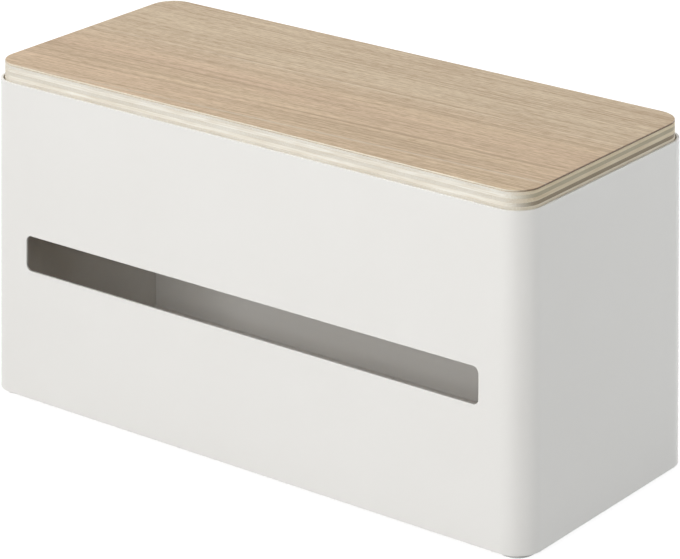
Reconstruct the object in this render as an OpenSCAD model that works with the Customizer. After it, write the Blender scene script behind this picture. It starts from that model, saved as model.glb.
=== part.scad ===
// Tissue box: a rounded sheet-steel shell with a long dispensing slot in its front,
// a drop-in plywood lid, and a square-cornered drawer that slides out of the left end.
// X runs along the front, Y runs to the back and Z is up. The origin is on the ground,
// under the middle of the shell.

/* [Shell] */
// Width of the shell along its front
shell_w = 260; // [240:1:320]
// Depth of the shell from front to back
shell_d = 110; // [96:1:150]
// Height of the shell's walls
shell_h = 124; // [112:1:170]
// Outer radius of the four vertical corners
shell_r = 11; // [8:0.5:14]
// Thickness of the shell's sheet steel
sheet_t = 1; // [0.6:0.1:1.4]

/* [Dispensing slot] */
// Distance from each end of the slot to that end of the shell
slot_margin = 20; // [16:1:70]
// Height of the slot
slot_h = 14; // [8:0.5:30]
// Height of the slot's lower edge above the shell's bottom edge
slot_z = 51; // [30:1:76]
// Radius of the slot's corners
slot_r = 2.5; // [1:0.25:3.5]

/* [Base] */
// Thickness of the base plate
base_t = 1; // [0.6:0.1:1.6]
// Height of the base plate's upturned welding flanges, above the plate
base_flange_h = 8; // [4:0.5:14]
// Gap from the base plate's left edge to the drawer's panel, where the drawer stops
base_stop_gap = 0.3; // [0.1:0.1:1]
// Radius of a foot
foot_r = 7; // [4:0.25:10]
// Thickness of a foot
foot_t = 1.5; // [0.8:0.1:3]
// Gap between the edge of a foot and the shell's inner faces
foot_edge_gap = 1.25; // [1:0.25:20]

/* [Drawer guides] */
// Height of the guide rails above the base plate
rail_h = 6; // [3:0.5:12]
// Gap between the guide rails' welded foot and the base plate's flange
rail_flange_gap = 1; // [0.5:0.5:3]
// Thickness of the guide rails
rail_t = 1; // [0.6:0.1:1.4]
// Gap between each rail and the side of the drawer
rail_gap = 0.4; // [0.2:0.1:0.8]
// Distance from each end of a rail to that end of the shell
rail_margin = 14; // [8:1:60]
// Diameter of the guide stud's shank
stud_d = 6; // [4:0.5:8]
// Diameter of the guide stud's head
stud_head_d = 11; // [9:0.5:14]
// Thickness of the guide stud's head
stud_head_t = 0.8; // [0.5:0.1:1.5]
// Distance from the shell's left end to the stud
stud_inset = 24; // [14:1:30]
// Gap between the stud and the edges of its slot
stud_gap = 0.4; // [0.3:0.1:0.8]

/* [Drawer] */
// How far the sides of the drawer run past the start of the shell's rounded corners
drawer_tuck = 1.5; // [0:0.25:2]
// Height of the strip of shell over the drawer's opening
drawer_head = 6; // [4:0.5:20]
// Gap round the drawer's panel
drawer_gap = 0.5; // [0.3:0.1:1]
// Width of the stiffening lip at the top of the drawer's panel
panel_lip_w = 6; // [3:0.5:12]
// Diameter of the finger hole
pull_d = 22; // [16:1:30]
// Height of the finger hole's middle above the bottom of the panel
pull_z = 88; // [40:1:92]
// How far the rolled collar of the finger hole reaches inwards
pull_collar = 3; // [1.5:0.5:5]
// Thickness of the drawer tray's sheet steel
tray_t = 0.8; // [0.6:0.1:1.2]
// Height of the tray's back wall
tray_back_h = 60; // [30:1:100]
// Height of the low fence along the tray's front
fence_h = 16; // [8:1:24]
// Gap between the tray's inner end and the base plate's right flange
tray_end_gap = 1; // [0.5:0.5:8]
// How far the drawer pulls out
drawer_travel = 200; // [100:5:200]
// Thickness of the glide strips under the tray
glide_t = 0.3; // [0.2:0.1:1]
// Width of the glide strips
glide_w = 8; // [4:0.5:12]
// Gap between the glide strips and the base plate
glide_gap = 0.1; // [0.1:0.05:0.3]

/* [Lid] */
// Gap between the lid and the shell's inner faces
lid_gap = 0.35; // [0.3:0.05:0.8]
// How much larger the radius of the lid's corners is than an even gap needs
lid_ease = 0.85; // [0:0.05:3]
// How far the lid drops below the shell's rim
lid_drop = 2; // [1:0.25:4]
// Thickness of the lid's top veneer
veneer_t = 0.7; // [0.4:0.1:1.2]
// Thickness of the crossband under the veneer
crossband_t = 1.15; // [0.6:0.05:1.6]
// Thickness of each of the five core plies
ply_t = 1.43; // [1:0.01:2]
// Length of each lid bracket along the wall
bracket_w = 24; // [10:1:40]
// How far each lid bracket reaches inwards
bracket_reach = 7; // [4:0.5:8]
// Height of each lid bracket's welded leg
bracket_leg = 12; // [6:1:20]
// Thickness of the lid brackets
bracket_t = 1; // [0.8:0.1:1.6]
// Distance from the shell's end to the middle of each lid bracket
bracket_inset = 38; // [32:1:80]
// Gap between the lid brackets and the lid
bracket_gap = 0.1; // [0.05:0.05:0.3]

/* [Hidden] */

$fn = 96;
// How far a cut runs past the face that it goes through
past = 1;

// Heights above the ground
shell_z = foot_t;
rim_z = shell_z + shell_h;
base_top = shell_z + base_t;
glide_z = base_top + glide_gap;
tray_z = glide_z + glide_t;
floor_top = tray_z + tray_t;
door_top = rim_z - drawer_head;
lid_z = rim_z - lid_drop;

// Half sizes of the shell, outside and inside
half_w = shell_w / 2;
half_d = shell_d / 2;
inner_w = shell_w - 2 * sheet_t;
inner_d = shell_d - 2 * sheet_t;
inner_r = shell_r - sheet_t;

// The lid's plan
lid_w = inner_w - 2 * lid_gap;
lid_d = inner_d - 2 * lid_gap;
lid_r = inner_r - lid_gap + lid_ease;

// The middle of a foot, from the middle of the shell
foot_x = half_w - sheet_t - foot_edge_gap - foot_r;
foot_y = half_d - sheet_t - foot_edge_gap - foot_r;

// The drawer, from its panel's outer face to the outside of its end wall
drawer_w = shell_d - 2 * (shell_r - drawer_tuck);
panel_x = -half_w;
tray_x = panel_x + sheet_t;
tray_len = shell_w - 2 * sheet_t - base_t - tray_end_gap;
stud_x = stud_inset - half_w;

steel_white = [0.91, 0.91, 0.89];
zinc_grey = [0.72, 0.73, 0.74];
pad_grey = [0.80, 0.80, 0.79];
glide_white = [0.93, 0.93, 0.90];
veneer_tan = [0.78, 0.66, 0.52];
ply_light = [0.90, 0.85, 0.74];
ply_dark = [0.76, 0.67, 0.52];

// A rectangle with four round corners, centred on the origin
module round_rect(w, d, r) {
    square([w - 2 * r, d], center = true);
    square([w, d - 2 * r], center = true);
    for (x = [-1, 1], y = [-1, 1])
        translate([x * (w / 2 - r), y * (d / 2 - r)])
            circle(r);
}

// A flat plate with round corners, from height z upwards
module round_plate(w, d, r, z, t) {
    translate([0, 0, z])
        linear_extrude(t)
            round_rect(w, d, r);
}

// A box given by its lowest corner and its size
module block(corner, size) {
    translate(corner)
        cube(size);
}

// The wrapped sheet: four walls with round corners, the slot and the drawer's opening
module shell() {
    color(steel_white)
        difference() {
            round_plate(shell_w, shell_d, shell_r, shell_z, shell_h);
            round_plate(inner_w, inner_d, inner_r, shell_z - past, shell_h + 2 * past);
            slot_cut();
            drawer_cut();
        }
}

module slot_cut() {
    translate([0, -half_d - past, shell_z + slot_z + slot_h / 2])
        rotate([-90, 0, 0])
            linear_extrude(sheet_t + 2 * past)
                round_rect(shell_w - 2 * slot_margin, slot_h, slot_r);
}

module drawer_cut() {
    opening_w = drawer_w + 2 * drawer_gap;
    block(
        [panel_x - past, -opening_w / 2, shell_z - past],
        [shell_r + past, opening_w, door_top - shell_z + past]
    );
}

// The bottom sheet, with flanges along the front, the back and the right end
module base_plate() {
    flange_len = shell_w - 2 * shell_r;
    flange_d = shell_d - 2 * shell_r;
    color(steel_white) {
        difference() {
            round_plate(inner_w, inner_d, inner_r, shell_z, base_t);
            block([tray_x - past, -half_d, shell_z - past], [base_stop_gap + past, shell_d, base_t + 2 * past]);
        }
        for (y = [sheet_t - half_d, half_d - sheet_t - base_t])
            block([-flange_len / 2, y, base_top], [flange_len, base_t, base_flange_h]);
        block(
            [half_w - sheet_t - base_t, -flange_d / 2, base_top],
            [base_t, flange_d, base_flange_h]
        );
    }
}

// A flat non-slip pad; x_side and y_side are -1 or 1
module foot(x_side, y_side) {
    color(pad_grey)
        translate([x_side * foot_x, y_side * foot_y, 0])
            cylinder(r = foot_r, h = foot_t);
}

// An angle that keeps one side of the drawer straight; side is -1 at the front, 1 at the back
module rail(side) {
    rail_len = shell_w - 2 * rail_margin;
    web_y = drawer_w / 2 + rail_gap;
    rail_foot_w = half_d - sheet_t - base_t - rail_flange_gap - web_y;
    color(zinc_grey)
        mirror([0, side < 0 ? 1 : 0, 0]) {
            block([-rail_len / 2, web_y, base_top], [rail_len, rail_t, rail_h]);
            block([-rail_len / 2, web_y, base_top], [rail_len, rail_foot_w, rail_t]);
        }
}

// The headed stud that holds the drawer down and stops it at both ends of its slot
module guide_stud() {
    head_z = floor_top + glide_gap;
    color(zinc_grey)
        translate([stud_x, 0, 0]) {
            translate([0, 0, base_top])
                cylinder(d = stud_d, h = head_z - base_top);
            translate([0, 0, head_z])
                cylinder(d = stud_head_d, h = stud_head_t);
        }
}

// An angle that carries one corner of the lid; x_side and y_side are -1 or 1
module bracket(x_side, y_side) {
    top = lid_z - bracket_gap;
    wall_y = half_d - sheet_t;
    color(steel_white)
        mirror([0, y_side < 0 ? 1 : 0, 0])
            translate([x_side * (half_w - bracket_inset) - bracket_w / 2, 0, 0]) {
                block([0, wall_y - bracket_t, top - bracket_leg], [bracket_w, bracket_t, bracket_leg]);
                block([0, wall_y - bracket_reach, top - bracket_t], [bracket_w, bracket_reach, bracket_t]);
            }
}

// The drawer's front: a flat panel that closes the opening, with a lip and a finger hole
module drawer_panel() {
    panel_z = shell_z + drawer_gap;
    panel_h = door_top - drawer_gap - panel_z;
    color(steel_white)
        difference() {
            union() {
                block([panel_x, -drawer_w / 2, panel_z], [sheet_t, drawer_w, panel_h]);
                block(
                    [panel_x, -drawer_w / 2, panel_z + panel_h - sheet_t],
                    [sheet_t + panel_lip_w, drawer_w, sheet_t]
                );
                translate([panel_x, 0, panel_z + pull_z])
                    rotate([0, 90, 0])
                        cylinder(d = pull_d + 2 * sheet_t, h = sheet_t + pull_collar);
            }
            translate([panel_x - past, 0, panel_z + pull_z])
                rotate([0, 90, 0])
                    cylinder(d = pull_d, h = sheet_t + pull_collar + 2 * past);
        }
}

// The folded tray: floor, tall back wall, low front fence and a sloping end wall
module drawer_tray() {
    color(steel_white)
        difference() {
            union() {
                block([tray_x, -drawer_w / 2, tray_z], [tray_len, drawer_w, tray_t]);
                block([tray_x, drawer_w / 2 - tray_t, tray_z], [tray_len, tray_t, tray_back_h]);
                block([tray_x, -drawer_w / 2, tray_z], [tray_len, tray_t, fence_h]);
                tray_end();
            }
            stud_slot();
        }
}

module tray_end() {
    translate([tray_x + tray_len - tray_t, 0, tray_z])
        rotate([90, 0, 90])
            linear_extrude(tray_t)
                polygon([
                    [-drawer_w / 2, 0],
                    [drawer_w / 2, 0],
                    [drawer_w / 2, tray_back_h],
                    [-drawer_w / 2, fence_h]
                ]);
}

// The stud stands at the slot's left end when the drawer is shut, and at its right end when it is out
module stud_slot() {
    slot_d = stud_d + 2 * stud_gap;
    translate([stud_x, 0, tray_z - past]) {
        cylinder(d = slot_d, h = tray_t + 2 * past);
        translate([drawer_travel, 0, 0])
            cylinder(d = slot_d, h = tray_t + 2 * past);
        block([0, -slot_d / 2, 0], [drawer_travel, slot_d, tray_t + 2 * past]);
    }
}

// A slippery strip under one side of the tray; side is -1 at the front, 1 at the back
module glide(side) {
    color(glide_white)
        mirror([0, side < 0 ? 1 : 0, 0])
            block([tray_x + rail_margin, drawer_w / 2 - glide_w - glide_t, glide_z],
                  [tray_len - 2 * rail_margin, glide_w, glide_t]);
}

// One layer of the lid, from height z upwards
module lid_layer(z, t) {
    round_plate(lid_w, lid_d, lid_r, z, t);
}

// Core ply number n, counted from 1 at the bottom; the grain turns a quarter from ply to ply
module lid_ply(n) {
    color(n % 2 == 1 ? ply_light : ply_dark)
        lid_layer(lid_z + (n - 1) * ply_t, ply_t);
}

module lid_crossband() {
    color(ply_dark)
        lid_layer(lid_z + 5 * ply_t, crossband_t);
}

module lid_veneer() {
    color(veneer_tan)
        lid_layer(lid_z + 5 * ply_t + crossband_t, veneer_t);
}

shell();
base_plate();
foot(-1, -1);  // foot_front_left
foot(1, -1);  // foot_front_right
foot(-1, 1);  // foot_back_left
foot(1, 1);  // foot_back_right
rail(-1);  // rail_front
rail(1);  // rail_back
guide_stud();
bracket(-1, -1);  // bracket_front_left
bracket(1, -1);  // bracket_front_right
bracket(-1, 1);  // bracket_back_left
bracket(1, 1);  // bracket_back_right
drawer_panel();
drawer_tray();
glide(-1);  // glide_front
glide(1);  // glide_back
lid_veneer();
lid_crossband();
lid_ply(1);  // lid_ply_1
lid_ply(2);  // lid_ply_2
lid_ply(3);  // lid_ply_3
lid_ply(4);  // lid_ply_4
lid_ply(5);  // lid_ply_5
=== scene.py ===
"""A tissue box with a drawer: powder-coated sheet steel, a plywood lid and a few small fittings.

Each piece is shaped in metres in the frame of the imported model, stands for one of its nodes and
moves with that node's body. Sheet-metal pieces start as their outer skin, get their bends, holes
and rounded corners there, and are given their thickness last.
"""

from math import copysign, cos, pi, radians, sin

import bmesh
import bpy
from mathutils import Matrix, Vector


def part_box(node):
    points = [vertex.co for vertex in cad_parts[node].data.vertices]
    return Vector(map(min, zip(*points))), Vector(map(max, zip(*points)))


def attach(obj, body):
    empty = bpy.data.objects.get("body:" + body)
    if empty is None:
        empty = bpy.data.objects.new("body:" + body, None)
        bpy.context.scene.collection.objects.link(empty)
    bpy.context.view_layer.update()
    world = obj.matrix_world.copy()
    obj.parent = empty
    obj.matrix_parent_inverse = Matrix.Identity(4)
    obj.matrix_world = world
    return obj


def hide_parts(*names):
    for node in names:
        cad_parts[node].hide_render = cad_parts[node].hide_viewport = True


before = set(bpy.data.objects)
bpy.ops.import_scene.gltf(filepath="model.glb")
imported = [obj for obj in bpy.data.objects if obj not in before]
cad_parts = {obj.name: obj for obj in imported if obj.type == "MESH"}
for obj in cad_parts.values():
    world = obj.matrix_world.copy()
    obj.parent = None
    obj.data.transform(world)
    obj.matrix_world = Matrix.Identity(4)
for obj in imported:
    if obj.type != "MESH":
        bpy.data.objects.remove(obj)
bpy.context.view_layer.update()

MM = 0.001

# Sheet steel
SHELL_SHEET = 1.0 * MM
TRAY_SHEET = 0.8 * MM
CORNER_RADIUS = 11 * MM
BASE_CORNER_RADIUS = CORNER_RADIUS - SHELL_SHEET
FOLD_RADIUS = 1.4 * MM
EDGE_EASE = 0.22 * MM

# The slot in the front, from the shell's own box
SLOT_FROM_ENDS = 20 * MM
SLOT_FROM_BOTTOM = 51 * MM
SLOT_HEIGHT = 14 * MM
SLOT_RADIUS = 2.5 * MM

# The drawer
DRAWER_GAP = 0.5 * MM
PULL_RADIUS = 11 * MM
PULL_HEIGHT = 88 * MM
PULL_COLLAR = 3 * MM
FENCE_HEIGHT = 16 * MM
DRAWER_TRAVEL = 200 * MM
STUD_RADIUS = 3 * MM
STUD_HEAD = 0.8 * MM
STUD_GAP = 0.4 * MM
GLIDE_CORNER = 2 * MM
GLIDE_EASE = 0.06 * MM

# The feet
FOOT_ROLL = 0.4 * MM

# The lid
LID_RADIUS = 10.5 * MM
VENEER_EASE = 0.3 * MM
PLY_EASE = 0.05 * MM

FACING_FRONT = Vector((0, -1, 0))
FACING_LEFT = Vector((-1, 0, 0))
FACING_DOWN = Vector((0, 0, -1))

# How many flats a round shape is made of: a quarter turn, or for the last two a whole one
CORNER_STEPS = 24
PLATE_CORNER_STEPS = 8
GLIDE_CORNER_STEPS = 6
FOLD_STEPS = 5
PANEL_FOLD_STEPS = 6
WINDOW_STEPS = 32
TURN_STEPS = 64
# A skin is folded where its faces meet at more than the first angle, and a finished piece
# has its edges eased where they meet at more than the second
FOLD_ANGLE = radians(30)
SHARP_ANGLE = radians(35)
# Points that lie nearer to each other than this are one point
TINY = 0.001 * MM


# ---------------------------------------------------------------- shaping


def corner_box(low, high):
    """A closed box between its lowest and its highest corner."""
    bm = bmesh.new()
    bmesh.ops.create_cube(bm, size=1.0)
    bmesh.ops.scale(bm, vec=high - low, verts=bm.verts)
    bmesh.ops.translate(bm, vec=(low + high) / 2, verts=bm.verts)
    return bm


def face_towards(bm, direction):
    """The largest flat face that looks in a direction."""
    bm.normal_update()
    looking = [f for f in bm.faces if f.normal.dot(direction) > 0.999]
    return max(looking, key=lambda f: f.calc_area())


def remove_faces(bm, directions):
    """Opens a box on the sides that look in these directions."""
    doomed = [face_towards(bm, d) for d in directions]
    bmesh.ops.delete(bm, geom=doomed, context="FACES")


def upright_edges(bm):
    """The edges that run up and down."""
    def rise(edge):
        return abs((edge.verts[1].co - edge.verts[0].co).normalized().z)

    return [e for e in bm.edges if rise(e) > 0.999]


def shared_edges(bm):
    """The folds of a skin: its edges between two faces that meet at an angle."""
    return [e for e in bm.edges if len(e.link_faces) == 2 and e.calc_face_angle() > FOLD_ANGLE]


def round_edges(bm, edges, radius, segments):
    """Rounds edges to a radius."""
    bmesh.ops.bevel(
        bm, geom=edges, offset=radius, segments=segments, profile=0.5, affect="EDGES", material=-1
    )


def round_plan(bm, corners, radius, segments):
    """Rounds the corners of a flat plate that has no thickness yet."""
    bmesh.ops.bevel(
        bm, geom=corners, offset=radius, segments=segments, profile=0.5, affect="VERTICES", material=-1
    )


def draw_out(bm, edges, run):
    """Pulls new faces out of open edges."""
    drawn = bmesh.ops.extrude_edge_only(bm, edges=edges)["geom"]
    new_verts = [g for g in drawn if isinstance(g, bmesh.types.BMVert)]
    bmesh.ops.translate(bm, vec=run, verts=new_verts)


def cut_window(bm, wall, centre, across, up, width, height, radius, segments=WINDOW_STEPS):
    """Cuts a window with round corners out of a flat wall and returns the edges round it.

    The outline is a circle pulled apart along across and up until it has the window's size."""
    outer_edges = list(wall.edges)
    wall_normal = wall.normal.copy()
    bmesh.ops.delete(bm, geom=[wall], context="FACES_ONLY")
    turned = Matrix((across, up, across.cross(up))).transposed().to_4x4()
    half_step = Matrix.Rotation(pi / segments, 4, "Z")
    ring = bmesh.ops.create_circle(
        bm, segments=segments, radius=radius, matrix=Matrix.Translation(centre) @ turned @ half_step
    )["verts"]
    for vert in ring:
        offset = vert.co - centre
        vert.co += across * copysign(width / 2 - radius, offset.dot(across))
        vert.co += up * copysign(height / 2 - radius, offset.dot(up))
    window_edges = list({e for v in ring for e in v.link_edges})
    bmesh.ops.triangle_fill(
        bm, edges=outer_edges + window_edges, use_beauty=True, use_dissolve=True, normal=wall_normal
    )
    return window_edges


def look_outwards(bm, outward):
    """Turns a skin so that the face that lies furthest outward looks that way."""
    bmesh.ops.recalc_face_normals(bm, faces=bm.faces)
    outermost = max(bm.faces, key=lambda f: f.calc_center_median().dot(outward))
    if outermost.normal.dot(outward) < 0:
        bmesh.ops.reverse_faces(bm, faces=bm.faces)


def folded_strip(profile, run, thickness, outward):
    """A strip of sheet folded along a profile: three points of its outer skin, drawn out by run."""
    bm = bmesh.new()
    points = [bm.verts.new(p) for p in profile]
    draw_out(bm, [bm.edges.new(pair) for pair in zip(points, points[1:])], run)
    look_outwards(bm, outward)
    round_edges(bm, shared_edges(bm), FOLD_RADIUS, FOLD_STEPS)
    bmesh.ops.solidify(bm, geom=bm.faces[:], thickness=thickness)
    return bm


def turned_solid(profile, centre):
    """A solid turned round an upright axis; profile holds (radius, height) pairs, axis to axis."""
    bm = bmesh.new()
    points = [bm.verts.new((radius, 0, height)) for radius, height in profile]
    lines = [bm.edges.new(pair) for pair in zip(points, points[1:])]
    bmesh.ops.spin(
        bm, geom=points + lines, cent=(0, 0, 0), axis=(0, 0, 1), dvec=(0, 0, 0),
        angle=2 * pi, steps=TURN_STEPS, use_merge=True,
    )
    bmesh.ops.remove_doubles(bm, verts=bm.verts, dist=TINY)
    bmesh.ops.recalc_face_normals(bm, faces=bm.faces)
    bmesh.ops.translate(bm, vec=centre, verts=bm.verts)
    return bm


def make_piece(bm, name, node, body, material, ease=0.0):
    """Makes a finished piece that stands for a node, with its sharp edges eased."""
    mesh = bpy.data.meshes.new(name)
    bm.to_mesh(mesh)
    bm.free()
    mesh.shade_smooth()
    mesh.materials.append(material)
    piece = bpy.data.objects.new(name, mesh)
    bpy.context.scene.collection.objects.link(piece)
    if ease:
        eased = piece.modifiers.new("eased edges", "BEVEL")
        eased.width = ease
        eased.segments = 3
        eased.limit_method = "ANGLE"
        eased.angle_limit = SHARP_ANGLE
        eased.miter_outer = "MITER_ARC"
    flats = piece.modifiers.new("flat faces stay flat", "WEIGHTED_NORMAL")
    flats.mode = "FACE_AREA"
    flats.weight = 100
    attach(piece, body)
    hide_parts(node)
    return piece


# ---------------------------------------------------------------- finishes


class Finish:
    """A material whose nodes are wired up by short calls; sizes in its patterns are in metres."""

    def __init__(self, name, **shader_values):
        self.material = bpy.data.materials.new(name)
        self.material.use_nodes = True
        self.tree = self.material.node_tree
        self.shader = self.tree.nodes["Principled BSDF"]
        for socket, value in shader_values.items():
            self.shader.inputs[socket.replace("_", " ")].default_value = value
        self.place = self.node("ShaderNodeTexCoord")

    def node(self, kind, inputs=None, **settings):
        """A node with its settings; each input is a value or another node's output."""
        made = self.tree.nodes.new(kind)
        for name, value in settings.items():
            setattr(made, name, value)
        for socket, value in (inputs or {}).items():
            if isinstance(value, bpy.types.NodeSocket):
                self.tree.links.new(value, made.inputs[socket])
            else:
                made.inputs[socket].default_value = value
        return made

    def feed(self, socket, value):
        self.tree.links.new(value, self.shader.inputs[socket])

    def space(self, x, y, z, start=None):
        """Coordinates divided by a feature's size along each axis; they start as the object's own."""
        start = start or self.place.outputs["Object"]
        return self.node(
            "ShaderNodeMapping", {"Vector": start, "Scale": (1 / x, 1 / y, 1 / z)}
        ).outputs["Vector"]

    def noise(self, vector, detail=2.0, roughness=0.5, distortion=0.0):
        """Smooth noise about as large as one unit of the coordinates."""
        return self.node("ShaderNodeTexNoise", {
            "Vector": vector,
            "Scale": 1.0,
            "Detail": detail,
            "Roughness": roughness,
            "Distortion": distortion,
        }).outputs["Fac"]

    def spread(self, value, low, high, to_low=0.0, to_high=1.0):
        """Stretches the part of a value between low and high over a new range, and clamps it."""
        return self.node(
            "ShaderNodeMapRange",
            {"Value": value, "From Min": low, "From Max": high, "To Min": to_low, "To Max": to_high},
        ).outputs["Result"]

    def math(self, operation, *values):
        return self.node("ShaderNodeMath", dict(enumerate(values)), operation=operation).outputs[0]

    def mix(self, factor, a, b):
        """A colour between a and b."""
        return self.node(
            "ShaderNodeMix", {0: factor, 6: a, 7: b}, data_type="RGBA"
        ).outputs[2]

    def bump(self, height, depth):
        """A relief as deep as depth, in metres, where height is 1."""
        made = self.node("ShaderNodeBump", {"Height": height, "Strength": 1.0, "Distance": depth})
        self.feed("Normal", made.outputs["Normal"])


def rgb(red, green, blue):
    return (red, green, blue, 1.0)


VENEER_WARM = rgb(0.712, 0.560, 0.362)
VENEER_ROSY = rgb(0.720, 0.522, 0.358)
VENEER_COOL = rgb(0.718, 0.587, 0.410)
VENEER_DEEP = rgb(0.430, 0.300, 0.180)
# VENEER_PALE is the pale of the grain's light lines and also the painted light on the lid's long edges
VENEER_PALE = rgb(0.870, 0.820, 0.690)
VENEER_PORE = rgb(0.360, 0.250, 0.150)
# Near-black painted shade on the veneer's end edges, which face the box's ends
VENEER_END_SHADE = rgb(0.070, 0.032, 0.008)
# The flat of a birch ply, which shows on the underside of the lid
BIRCH_FACE = rgb(0.760, 0.620, 0.440)
# The grain's slope against the lid's front in the middle of the lid, and how it changes with Y
VENEER_LEAN = 0.030
VENEER_FAN = 0.57
# How far behind the middle of the lid its marked lines lie, measured across the grain
DARK_LINE = -30.3 * MM
LIGHT_LINE = -46.5 * MM
FAINT_LIGHT_LINE = 7.5 * MM
FINE_RINGS = 35 * MM


def powder_coat():
    """Off-white satin powder coat: very fine, shallow orange peel and hardly any change of tone."""
    finish = Finish("white powder coat", Roughness=0.42)
    grain = finish.noise(finish.space(0.5 * MM, 0.5 * MM, 0.5 * MM), detail=1.0)
    drift = finish.noise(finish.space(45 * MM, 45 * MM, 45 * MM), detail=2.0)
    colour = finish.mix(
        finish.spread(drift, 0.3, 0.7), rgb(0.868, 0.857, 0.832), rgb(0.878, 0.868, 0.845)
    )
    finish.feed("Base Color", colour)
    finish.feed("Roughness", finish.spread(grain, 0.3, 0.7, 0.38, 0.48))
    finish.bump(grain, 0.006 * MM)
    return finish.material


def foot_rubber():
    """Matt light grey non-slip pad with a fine dusty grain."""
    finish = Finish("light grey non-slip pad", Roughness=0.8)
    dust = finish.noise(finish.space(0.3 * MM, 0.3 * MM, 0.3 * MM), detail=3.0)
    finish.feed("Base Color", finish.mix(dust, rgb(0.63, 0.63, 0.62), rgb(0.73, 0.73, 0.72)))
    finish.feed("Roughness", finish.spread(dust, 0.3, 0.7, 0.7, 0.9))
    finish.bump(dust, 0.03 * MM)
    return finish.material


def zinc_plate():
    """Dull zinc plating with drawn lines along the strip and a faint patchy bloom."""
    finish = Finish("dull zinc plate", Metallic=1.0)
    lines = finish.noise(finish.space(25 * MM, 0.12 * MM, 0.12 * MM), detail=3.0)
    bloom = finish.noise(finish.space(6 * MM, 4 * MM, 4 * MM), detail=3.0, distortion=0.6)
    tone = finish.mix(bloom, rgb(0.50, 0.51, 0.53), rgb(0.68, 0.69, 0.70))
    finish.feed("Base Color", tone)
    finish.feed("Roughness", finish.spread(finish.math("ADD", lines, bloom), 0.6, 1.4, 0.28, 0.5))
    finish.bump(lines, 0.004 * MM)
    return finish.material


def glide_plastic():
    """Natural-white slippery strip, faintly mottled, polished along the way that it slides."""
    finish = Finish("natural white glide strip", Roughness=0.3)
    mottle = finish.noise(finish.space(3 * MM, 3 * MM, 3 * MM), detail=3.0)
    rub = finish.noise(finish.space(30 * MM, 0.2 * MM, 0.2 * MM), detail=2.0)
    finish.feed("Base Color", finish.mix(mottle, rgb(0.76, 0.75, 0.71), rgb(0.84, 0.83, 0.79)))
    finish.feed("Roughness", finish.spread(rub, 0.3, 0.7, 0.22, 0.42))
    finish.bump(rub, 0.004 * MM)
    return finish.material


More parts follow.
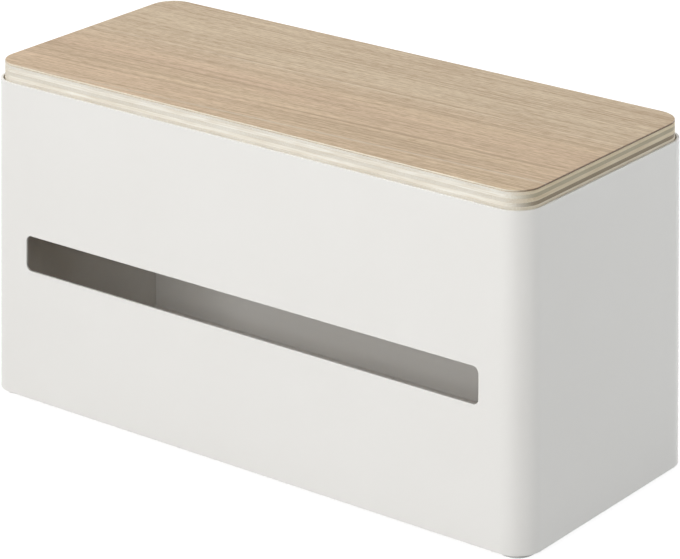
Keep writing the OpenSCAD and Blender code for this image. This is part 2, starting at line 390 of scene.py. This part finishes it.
def top_veneer():
    """Pale straight-grained veneer, whose grain fans a little from the back of the lid to the front."""
    finish = Finish("pale straight veneer", Roughness=0.45)
    place = finish.node("ShaderNodeSeparateXYZ", {"Vector": finish.place.outputs["Object"]}).outputs
    lean = finish.math("MULTIPLY_ADD", place["Y"], -VENEER_FAN, VENEER_LEAN)
    across = finish.math("SUBTRACT", place["Y"], finish.math("MULTIPLY", place["X"], lean))
    grain = finish.node(
        "ShaderNodeCombineXYZ", {"X": place["X"], "Y": across, "Z": place["Z"]}
    ).outputs["Vector"]

    def texture(long, wide, detail, roughness=0.5):
        """Noise drawn out along the grain."""
        return finish.noise(finish.space(long, wide, wide, start=grain), detail, roughness)

    def growth_line(where, width, strength):
        """How strongly one line across the grain shows, in broken lengths along it."""
        away = finish.math("ABSOLUTE", finish.math("SUBTRACT", across, where))
        broken = finish.spread(texture(45 * MM, 40 * MM, 2.0), 0.35, 0.60, 0.45, 1.0)
        return finish.math("MULTIPLY", finish.spread(away, 0, width, strength, 0.0), broken)

    def ring_group(middle, reach, spacing, strength):
        """Evenly spaced fine rings in a band of the lid, strongest in its middle and to the right."""
        near = finish.math("ABSOLUTE", finish.math("SUBTRACT", across, middle))
        wander = finish.math("MULTIPLY_ADD", texture(120 * MM, 9 * MM, 1.0), 2.5 * MM, across)
        wave = finish.math("SINE", finish.math("MULTIPLY", wander, 2 * pi / spacing))
        fading = finish.spread(near, 0, reach, strength, 0.0)
        banded = finish.math("MULTIPLY", finish.spread(wave, 0.1, 1.0), fading)
        to_the_right = finish.spread(place["X"], -90 * MM, 60 * MM, 0.35, 1.0)
        return finish.math("MULTIPLY", banded, to_the_right)

    broad = texture(260 * MM, 24 * MM, 1.0)
    patches = texture(95 * MM, 13 * MM, 2.0)
    rings = texture(320 * MM, 1.5 * MM, 2.0, 0.6)
    streaks = texture(38 * MM, 0.9 * MM, 2.0, 0.6)
    flecks = texture(5 * MM, 0.55 * MM, 2.0, 0.6)
    pores = texture(3 * MM, 0.28 * MM, 1.0)
    tight = finish.spread(texture(400 * MM, 15 * MM, 1.0), 0.40, 0.58, 0.30, 1.0)

    halves = finish.spread(finish.math("MULTIPLY_ADD", broad, 30 * MM, across), 8 * MM, 32 * MM)
    paler = finish.mix(finish.spread(broad, 0.35, 0.65), VENEER_WARM, VENEER_ROSY)
    ground = finish.mix(halves, paler, VENEER_COOL)
    ringed = finish.math("MULTIPLY", finish.spread(rings, 0.47, 0.66, 0.0, 0.52), tight)
    streaked = finish.spread(streaks, 0.42, 0.66, 0.0, 0.42)
    flecked = finish.spread(flecks, 0.42, 0.66, 0.0, 0.50)
    patched = finish.spread(patches, 0.35, 0.65, 0.0, 0.24)
    dark_line = growth_line(DARK_LINE, 0.9 * MM, 0.70)
    fine_rings = ring_group(FINE_RINGS, 9 * MM, 1.75 * MM, 0.45)
    darkness = ringed
    for more in (patched, streaked, flecked, dark_line, fine_rings):
        darkness = finish.math("ADD", darkness, more)
    lined = finish.mix(darkness, ground, VENEER_DEEP)
    light_lines = finish.math(
        "ADD", growth_line(LIGHT_LINE, 1.0 * MM, 0.40), growth_line(FAINT_LIGHT_LINE, 0.8 * MM, 0.25)
    )
    lit = finish.mix(light_lines, lined, VENEER_PALE)
    pored = finish.mix(finish.spread(pores, 0.56, 0.72, 0.0, 0.45), lit, VENEER_PORE)

    # The veneer's edges carry painted light: its long edges are painted pale as lit, and its end edges
    # near black as painted shade
    facing = finish.node("ShaderNodeSeparateXYZ", {"Vector": finish.place.outputs["Normal"]}).outputs
    on_front = finish.math("MULTIPLY", facing["Y"], facing["Y"])
    painted_shade_on_ends = finish.math("MULTIPLY", facing["X"], facing["X"])
    long_edges_painted_light = finish.mix(on_front, pored, VENEER_PALE)
    finish.feed("Base Color", finish.mix(painted_shade_on_ends, long_edges_painted_light, VENEER_END_SHADE))
    finish.feed("Roughness", finish.spread(flecks, 0.3, 0.7, 0.40, 0.55))
    finish.bump(finish.math("MULTIPLY_ADD", pores, -0.6, flecks), 0.012 * MM)
    return finish.material


def ply_edge(name, along_front, on_front, on_side, streak):
    """A ply whose edge looks one way along its grain and another across it.

    on_front and on_side are its colours on the long and the short edges of the lid. They differ by the
    grain and also by painted light: the long edges are painted paler as lit, and the short edges darker
    as painted shade. Its flats are plain birch."""
    finish = Finish(name, Roughness=0.55)
    facing = finish.node("ShaderNodeSeparateXYZ", {"Vector": finish.place.outputs["Normal"]}).outputs
    # An edge's colour follows its facing: the ply's grain, with painted shade on the short edges and
    # painted light on the long ones
    turned = finish.math("MULTIPLY", facing["X"], facing["X"])
    flat = finish.math("MULTIPLY", facing["Z"], facing["Z"])
    base = finish.mix(flat, finish.mix(turned, on_front, on_side), BIRCH_FACE)
    long_size = 14 * MM if along_front else 0.35 * MM
    wide_size = 0.35 * MM if along_front else 14 * MM
    fibres = finish.noise(finish.space(long_size, wide_size, 0.28 * MM), detail=3.0, roughness=0.65)
    blotch = finish.noise(finish.space(12 * MM, 12 * MM, 1.5 * MM), detail=2.0)
    darker = finish.node(
        "ShaderNodeMix", {0: 1.0, 6: base, 7: streak}, data_type="RGBA", blend_type="MULTIPLY"
    ).outputs[2]
    strength = finish.spread(finish.math("ADD", fibres, finish.math("MULTIPLY", blotch, 0.5)), 0.55, 1.0)
    finish.feed("Base Color", finish.mix(strength, base, darker))
    finish.bump(fibres, 0.02 * MM)
    return finish.material


# ---------------------------------------------------------------- the case


def shell(coat):
    """The wrapped sheet with its slot in front and the drawer's opening at the left end."""
    low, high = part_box("shell")
    panel_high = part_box("drawer_panel")[1]
    bm = corner_box(low, high)
    remove_faces(bm, (FACING_DOWN, -FACING_DOWN))
    round_edges(bm, upright_edges(bm), CORNER_RADIUS, CORNER_STEPS)
    slot_centre = Vector((0, low.y, low.z + SLOT_FROM_BOTTOM + SLOT_HEIGHT / 2))
    slot_width = high.x - low.x - 2 * SLOT_FROM_ENDS
    cut_window(
        bm, face_towards(bm, FACING_FRONT), slot_centre, Vector((1, 0, 0)), Vector((0, 0, 1)),
        slot_width, SLOT_HEIGHT, SLOT_RADIUS,
    )
    cut_drawer_opening(bm, panel_high.y + DRAWER_GAP, panel_high.z + DRAWER_GAP, low.x + CORNER_RADIUS)
    look_outwards(bm, FACING_FRONT)
    bmesh.ops.solidify(bm, geom=bm.faces[:], thickness=SHELL_SHEET)
    return make_piece(bm, "shell_sheet", "shell", "case", coat, EDGE_EASE)


def cut_drawer_opening(bm, half_width, top, reach):
    """Cuts the left end away between y = -half_width and half_width, from the bottom to top."""
    cuts = (
        (Vector((0, -half_width, 0)), Vector((0, 1, 0))),
        (Vector((0, half_width, 0)), Vector((0, 1, 0))),
        (Vector((0, 0, top)), Vector((0, 0, 1))),
    )
    for point, normal in cuts:
        end = [f for f in bm.faces if max(v.co.x for v in f.verts) < reach + 10 * TINY]
        edges = {e for f in end for e in f.edges}
        verts = {v for f in end for v in f.verts}
        bmesh.ops.bisect_plane(
            bm, geom=list(verts) + list(edges) + end, plane_co=point, plane_no=normal, dist=TINY
        )

    def inside(face):
        middle = face.calc_center_median()
        return middle.x < reach and abs(middle.y) < half_width and middle.z < top

    bmesh.ops.delete(bm, geom=[f for f in bm.faces if inside(f)], context="FACES")


def base_plate(coat):
    """The bottom sheet, with flanges folded up at the front, the back and the right end."""
    low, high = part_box("base_plate")
    bm = bmesh.new()
    outline = [low, (high.x, low.y, low.z), (high.x, high.y, low.z), (low.x, high.y, low.z)]
    corners = [bm.verts.new(point) for point in outline]
    bm.faces.new(corners)
    round_plan(bm, corners, BASE_CORNER_RADIUS, PLATE_CORNER_STEPS)
    long_edges = [e for e in bm.edges if e.calc_length() > 3 * BASE_CORNER_RADIUS]
    left_edge = min(long_edges, key=lambda e: e.verts[0].co.x + e.verts[1].co.x)
    long_edges.remove(left_edge)
    draw_out(bm, long_edges, Vector((0, 0, high.z - low.z)))
    look_outwards(bm, FACING_DOWN)
    round_edges(bm, shared_edges(bm), FOLD_RADIUS, FOLD_STEPS)
    bmesh.ops.solidify(bm, geom=bm.faces[:], thickness=SHELL_SHEET)
    return make_piece(bm, "base_pan", "base_plate", "case", coat, EDGE_EASE)


def foot(node, rubber):
    """A round pad with a rolled lower edge."""
    low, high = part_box(node)
    radius, height = (high.x - low.x) / 2, high.z - low.z
    flat_radius = radius - FOOT_ROLL
    profile = [(0, 0), (flat_radius, 0)]
    for degrees in (22.5, 45, 67.5, 90):
        turn = radians(degrees)
        profile.append((flat_radius + FOOT_ROLL * sin(turn), FOOT_ROLL - FOOT_ROLL * cos(turn)))
    profile += [(radius, height), (0, height)]
    bm = turned_solid(profile, Vector(((low.x + high.x) / 2, (low.y + high.y) / 2, low.z)))
    return make_piece(bm, node + "_pad", node, "case", rubber)


def rail(node, zinc):
    """An angle welded to the base: its foot lies outwards and its web stands beside the drawer."""
    low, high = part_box(node)
    inner, outer = (low.y, high.y) if low.y > 0 else (high.y, low.y)
    profile = [(low.x, outer, low.z), (low.x, inner, low.z), (low.x, inner, high.z)]
    bm = folded_strip(profile, Vector((high.x - low.x, 0, 0)), SHELL_SHEET, FACING_DOWN)
    return make_piece(bm, node + "_angle", node, "case", zinc, EDGE_EASE)


def guide_stud(zinc):
    """A headed stud with a low domed head."""
    low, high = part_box("guide_stud")
    head_radius = (high.x - low.x) / 2
    top = high.z - low.z
    head_z = top - STUD_HEAD
    profile = [
        (0, 0), (STUD_RADIUS, 0), (STUD_RADIUS, head_z), (head_radius - 0.1 * MM, head_z),
        (head_radius, head_z + 0.1 * MM), (head_radius, head_z + 0.35 * MM),
        (head_radius * 0.94, head_z + 0.58 * MM), (head_radius * 0.75, head_z + 0.74 * MM), (0, top),
    ]
    bm = turned_solid(profile, Vector(((low.x + high.x) / 2, (low.y + high.y) / 2, low.z)))
    return make_piece(bm, "guide_stud_turned", "guide_stud", "case", zinc)


def bracket(node, coat):
    """An angle welded to the wall, with a shelf on top for the lid."""
    low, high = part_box(node)
    wall, tip = (high.y, low.y) if low.y > 0 else (low.y, high.y)
    profile = [(low.x, wall, low.z), (low.x, wall, high.z), (low.x, tip, high.z)]
    bm = folded_strip(profile, Vector((high.x - low.x, 0, 0)), SHELL_SHEET, -FACING_DOWN)
    return make_piece(bm, node + "_angle", node, "case", coat, EDGE_EASE)


# ---------------------------------------------------------------- the drawer


def drawer_panel(coat):
    """The drawer's front: a flat panel with a folded lip and a finger hole with a rolled collar."""
    low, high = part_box("drawer_panel")
    bm = bmesh.new()
    profile = [(low.x, low.y, low.z), (low.x, low.y, high.z), (high.x, low.y, high.z)]
    points = [bm.verts.new(p) for p in profile]
    run = Vector((0, high.y - low.y, 0))
    draw_out(bm, [bm.edges.new(pair) for pair in zip(points, points[1:])], run)
    look_outwards(bm, FACING_LEFT)
    hole_centre = Vector((low.x, 0, low.z + PULL_HEIGHT))
    hole = cut_window(
        bm, face_towards(bm, FACING_LEFT), hole_centre, Vector((0, 1, 0)), Vector((0, 0, 1)),
        2 * PULL_RADIUS, 2 * PULL_RADIUS, PULL_RADIUS, segments=TURN_STEPS,
    )
    draw_out(bm, hole, Vector((SHELL_SHEET + PULL_COLLAR, 0, 0)))
    look_outwards(bm, FACING_LEFT)
    round_edges(bm, shared_edges(bm), FOLD_RADIUS, PANEL_FOLD_STEPS)
    bmesh.ops.solidify(bm, geom=bm.faces[:], thickness=SHELL_SHEET)
    return make_piece(bm, "drawer_front", "drawer_panel", "drawer", coat, EDGE_EASE)


def drawer_tray(coat):
    """The folded tray: a floor with the stud's slot, a tall back, a low fence and a sloping end."""
    low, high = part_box("drawer_tray")
    stud_low, stud_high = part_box("guide_stud")
    bm = corner_box(low, high)
    remove_faces(bm, (-FACING_DOWN, FACING_LEFT))
    for vert in bm.verts:
        if vert.co.y < 0 and vert.co.z > low.z + FENCE_HEIGHT:
            vert.co.z = low.z + FENCE_HEIGHT
    stud_x = (stud_low.x + stud_high.x) / 2
    slot_radius = STUD_RADIUS + STUD_GAP
    slot_centre = Vector((stud_x + DRAWER_TRAVEL / 2, 0, low.z))
    cut_window(
        bm, face_towards(bm, FACING_DOWN), slot_centre, Vector((1, 0, 0)), Vector((0, 1, 0)),
        DRAWER_TRAVEL + 2 * slot_radius, 2 * slot_radius, slot_radius,
    )
    look_outwards(bm, FACING_DOWN)
    round_edges(bm, shared_edges(bm), FOLD_RADIUS, FOLD_STEPS)
    bmesh.ops.solidify(bm, geom=bm.faces[:], thickness=TRAY_SHEET)
    return make_piece(bm, "drawer_pan", "drawer_tray", "drawer", coat, EDGE_EASE)


def glide(node, plastic):
    """A thin stuck-on strip that the drawer slides on."""
    bm = corner_box(*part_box(node))
    round_edges(bm, upright_edges(bm), GLIDE_CORNER, GLIDE_CORNER_STEPS)
    return make_piece(bm, node + "_strip", node, "drawer", plastic, GLIDE_EASE)


# ---------------------------------------------------------------- the lid


def lid_layer(node, name, material, ease):
    """One layer of the lid: a thin board with round corners."""
    bm = corner_box(*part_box(node))
    round_edges(bm, upright_edges(bm), LID_RADIUS, CORNER_STEPS)
    return make_piece(bm, name, node, "lid", material, ease)


def lid():
    """The veneered plywood lid, layer by layer; the grain turns a quarter from ply to ply."""
    lid_layer("lid_veneer", "lid_face", top_veneer(), VENEER_EASE)
    streak = rgb(0.80, 0.74, 0.66)
    # The front and side colours given for the crossband here and for the plies below carry painted
    # light: the front colours are paler as lit, and the side colours darker as painted shade, beyond
    # what each ply's grain gives
    cross = ply_edge("crossband edge", False, rgb(0.87, 0.85, 0.79), rgb(0.76, 0.665, 0.48), streak)
    lid_layer("lid_crossband", "lid_crossband_sheet", cross, PLY_EASE)
    pale_front, tan_front = rgb(0.95, 0.93, 0.86), rgb(0.82, 0.795, 0.725)
    sides = {
        5: rgb(0.46, 0.41, 0.29), 4: rgb(0.75, 0.66, 0.49), 3: rgb(0.27, 0.22, 0.145),
        2: rgb(0.82, 0.765, 0.64), 1: rgb(0.80, 0.76, 0.66),
    }
    for number, on_side in sides.items():
        along_front = number % 2 == 1
        on_front = pale_front if along_front else tan_front
        node = f"lid_ply_{number}"
        edge = ply_edge(f"ply {number} edge", along_front, on_front, on_side, streak)
        lid_layer(node, node + "_sheet", edge, PLY_EASE)


# ---------------------------------------------------------------- camera, light and floor

# The camera stood with its back nearly upright and its lens lowered, so the box's uprights hardly
# converge. Its focal length and the point straight ahead of it are in pixels of the photo.
PHOTO_WIDTH = 680
PHOTO_HEIGHT = 559
FOCAL = 3487.3
AHEAD_U = 412.5
AHEAD_V = -929.4
CAMERA_PLACE = Vector((829.7, -1061.6, 560.3)) * MM
CAMERA_YAW = radians(36.701)
CAMERA_PITCH = radians(1.363)
CAMERA_ROLL = radians(0.121)
SENSOR = 36.0


def photo_camera():
    """A camera that looks at the middle of the photo, with the photo's lowered lens as a shear."""
    turn = Matrix.Rotation(CAMERA_YAW, 3, "Z")
    right, ahead, up = turn @ Vector((1, 0, 0)), turn @ Vector((0, 1, 0)), Vector((0, 0, 1))
    pitched_up = up * cos(CAMERA_PITCH) + ahead * sin(CAMERA_PITCH)
    pitched_ahead = ahead * cos(CAMERA_PITCH) - up * sin(CAMERA_PITCH)
    rolled_right = right * cos(CAMERA_ROLL) + pitched_up * sin(CAMERA_ROLL)
    rolled_up = pitched_up * cos(CAMERA_ROLL) - right * sin(CAMERA_ROLL)
    to_middle = (
        pitched_ahead
        + rolled_right * ((PHOTO_WIDTH / 2 - AHEAD_U) / FOCAL)
        - rolled_up * ((PHOTO_HEIGHT / 2 - AHEAD_V) / FOCAL)
    )
    camera = bpy.data.objects.new("photo camera", bpy.data.cameras.new("photo camera"))
    camera.data.sensor_width = SENSOR
    camera.data.lens = SENSOR * FOCAL * to_middle.length / PHOTO_WIDTH
    camera.data.clip_start, camera.data.clip_end = 0.1, 50.0
    stand = bpy.data.objects.new("camera stand", None)
    for thing in (camera, stand):
        bpy.context.scene.collection.objects.link(thing)
    axes = Matrix((rolled_right, rolled_up, -to_middle.normalized())).transposed().to_4x4()
    camera.parent = stand
    camera.matrix_parent_inverse = Matrix.Translation(CAMERA_PLACE) @ axes
    bpy.context.scene.camera = camera


def seen_directly(tree):
    """1 where a camera, mirror or glass ray meets a surface, and 0 for the light it gives."""
    rays = tree.nodes.new("ShaderNodeLightPath")
    total = rays.outputs["Is Camera Ray"]
    for other in ("Is Glossy Ray", "Is Transmission Ray"):
        add = tree.nodes.new("ShaderNodeMath")
        add.operation = "MAXIMUM"
        tree.links.new(total, add.inputs[0])
        tree.links.new(rays.outputs[other], add.inputs[1])
        total = add.outputs[0]
    return total


# How strongly the room itself lights the box
AMBIENT = 0.06
# Half of the floor's width
FLOOR_REACH = 12.0
# What the floor gives back to the box
FLOOR_BOUNCE = rgb(0.52, 0.52, 0.52)
# What the floor looks like: a glow just short of white, and a weak surface that takes the shadow.
# The glow reaches white away from the object, where the lamps no longer light the floor.
FLOOR_GLOW = 0.88
FLOOR_NEAR = 0.35
FLOOR_FAR = 1.30
FLOOR_SHADED = rgb(0.30, 0.30, 0.30)
# Every lamp aims at this point, from the same distance
LIT_POINT = Vector((0, -0.055, 0.07))
LAMP_DISTANCE = 1.35
# Light goes round inside the white box many times before it comes out of the slot
INSIDE_BOUNCES = 12


def room_light():
    """An even pale room, white where it is seen."""
    world = bpy.data.worlds.new("pale room")
    bpy.context.scene.world = world
    world.use_nodes = True
    tree = world.node_tree
    given = tree.nodes["Background"]
    given.inputs["Color"].default_value = rgb(0.985, 0.995, 1.0)
    given.inputs["Strength"].default_value = AMBIENT
    seen = tree.nodes.new("ShaderNodeBackground")
    seen.inputs["Color"].default_value = rgb(1, 1, 1)
    mixed = tree.nodes.new("ShaderNodeMixShader")
    tree.links.new(seen_directly(tree), mixed.inputs[0])
    tree.links.new(given.outputs[0], mixed.inputs[1])
    tree.links.new(seen.outputs[0], mixed.inputs[2])
    tree.links.new(mixed.outputs[0], tree.nodes["World Output"].inputs["Surface"])


def softbox(name, yaw, rise, width, height, power, colour):
    """A softbox that faces the box; yaw is to the right of straight in front, in degrees like rise."""
    light = bpy.data.lights.new(name, "AREA")
    light.shape = "RECTANGLE"
    light.size, light.size_y = width, height
    light.energy = power
    light.color = colour
    lamp = bpy.data.objects.new(name, light)
    turn, lift = radians(yaw), radians(rise)
    away = Vector((sin(turn) * cos(lift), -cos(turn) * cos(lift), sin(lift)))
    lamp.location = LIT_POINT + away * LAMP_DISTANCE
    lamp.rotation_euler = away.to_track_quat("Z", "Y").to_euler()
    bpy.context.scene.collection.objects.link(lamp)


def lamps():
    """One wide softbox in front and one above, and weaker ones for the ends, the back and the slot."""
    softbox("front softbox", 0, 22.7, 0.95, 0.31, 12.5, (1.0, 0.997, 0.988))
    softbox("right front softbox", 60, 22, 0.40, 0.35, 1.0, (1.0, 0.985, 0.96))
    softbox("left softbox", -90, 68, 0.60, 0.60, 7.2, (1.0, 0.99, 0.97))
    softbox("top right softbox", 110, 58, 0.50, 0.50, 2.1, (0.99, 0.995, 1.0))
    softbox("right softbox", 128, 5, 0.50, 0.45, 5.1, (0.965, 0.99, 1.0))
    softbox("left rear softbox", -98, 14, 0.50, 0.45, 3.0, (0.99, 0.995, 1.0))
    softbox("rear softbox", 176, 12, 0.60, 0.45, 4.0, (0.99, 0.995, 1.0))


def floor():
    """A pale floor that looks white and still takes the box's shadow."""
    bm = bmesh.new()
    bmesh.ops.create_grid(bm, x_segments=1, y_segments=1, size=FLOOR_REACH)
    mesh = bpy.data.meshes.new("floor")
    bm.to_mesh(mesh)
    bm.free()
    ground = bpy.data.objects.new("floor", mesh)
    bpy.context.scene.collection.objects.link(ground)
    finish = Finish("pale floor", Roughness=1.0)
    finish.shader.inputs["Base Color"].default_value = FLOOR_BOUNCE
    finish.shader.inputs["Specular IOR Level"].default_value = 0.0
    away = finish.node(
        "ShaderNodeVectorMath", {0: finish.place.outputs["Object"]}, operation="LENGTH"
    ).outputs["Value"]
    strength = finish.spread(away, FLOOR_NEAR, FLOOR_FAR, FLOOR_GLOW, 1.0)
    glow = finish.node("ShaderNodeEmission", {"Color": rgb(1, 1, 1), "Strength": strength})
    shaded = finish.node("ShaderNodeBsdfDiffuse", {"Color": FLOOR_SHADED})
    looks = finish.node("ShaderNodeAddShader", {0: glow.outputs[0], 1: shaded.outputs[0]})
    mixed = finish.node(
        "ShaderNodeMixShader",
        {0: seen_directly(finish.tree), 1: finish.shader.outputs[0], 2: looks.outputs[0]},
    )
    finish.tree.links.new(mixed.outputs[0], finish.tree.nodes["Material Output"].inputs["Surface"])
    mesh.materials.append(finish.material)


# ---------------------------------------------------------------- putting it together

bpy.context.scene.view_settings.view_transform = "Standard"
photo_camera()
room_light()
lamps()
floor()
bpy.context.scene.cycles.diffuse_bounces = INSIDE_BOUNCES

coat, rubber, zinc, plastic = powder_coat(), foot_rubber(), zinc_plate(), glide_plastic()
shell(coat)
base_plate(coat)
for depth in ("front", "back"):
    rail(f"rail_{depth}", zinc)
    glide(f"glide_{depth}", plastic)
    for side in ("left", "right"):
        foot(f"foot_{depth}_{side}", rubber)
        bracket(f"bracket_{depth}_{side}", coat)
guide_stud(zinc)
drawer_panel(coat)
drawer_tray(coat)
lid()
